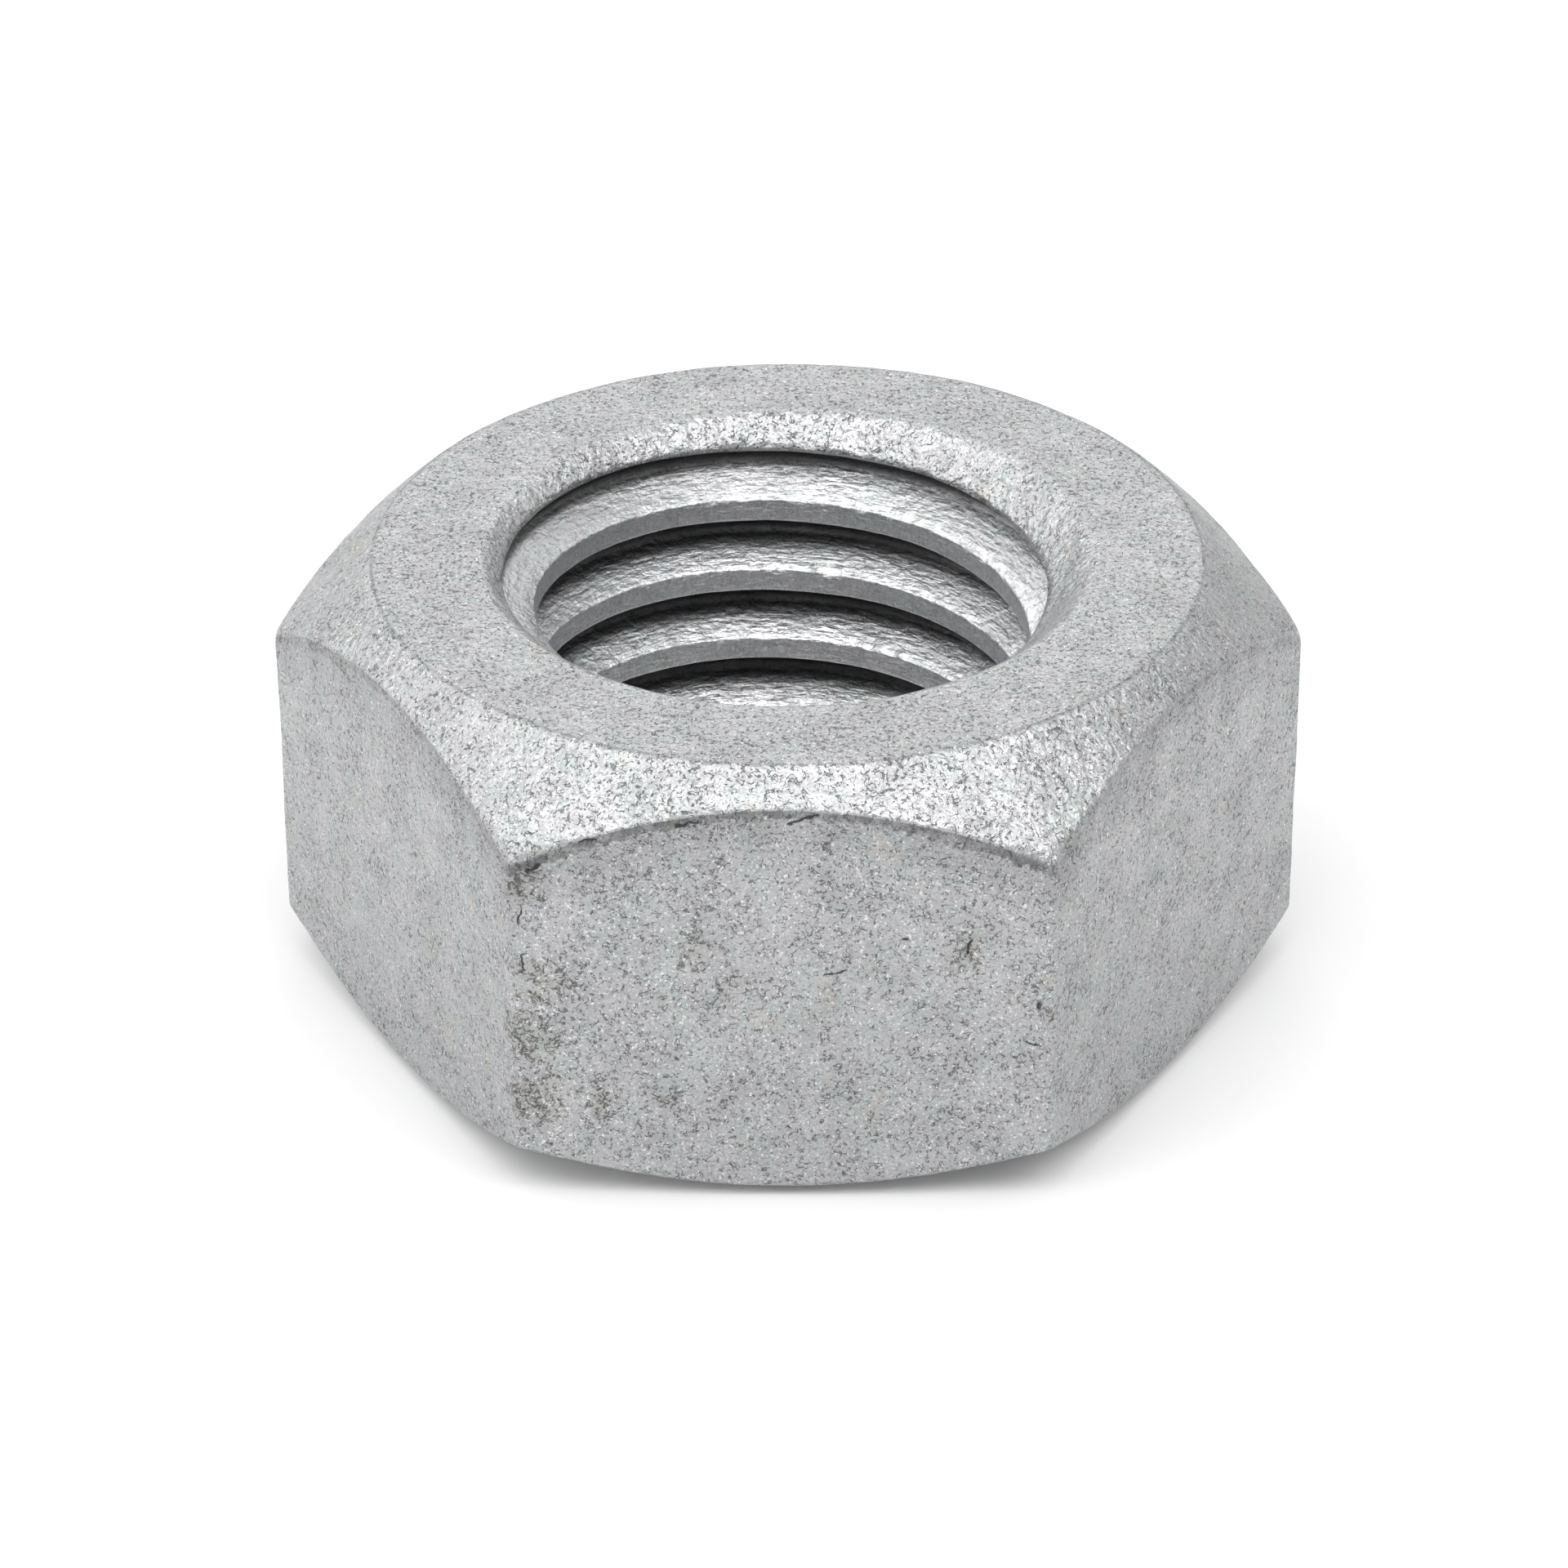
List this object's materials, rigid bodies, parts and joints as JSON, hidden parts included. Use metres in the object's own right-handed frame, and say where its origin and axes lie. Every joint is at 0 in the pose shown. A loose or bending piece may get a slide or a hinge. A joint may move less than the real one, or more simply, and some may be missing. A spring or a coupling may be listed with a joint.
{
  "type": "hex nut",
  "caption": "Hexagonal nut with both ends chamfered, a countersunk right-hand metric thread and a mottled grey galvanised surface.",
  "frame": {"origin": "centre of the lower bearing face, on the thread's axis", "axes": "+Z along the thread's axis, up out of the upper bearing face; +X through two opposite corners; -Y is the normal of the front flat"},
  "size_m": [0.022, 0.019, 0.01],
  "materials": {
    "galvanised_steel": "hot-dip galvanised, matt to satin light grey, finely flecked and faintly mottled"
  },
  "bodies": {
    "root": {"hex_nut": "galvanised_steel"}
  },
  "joints": []
}
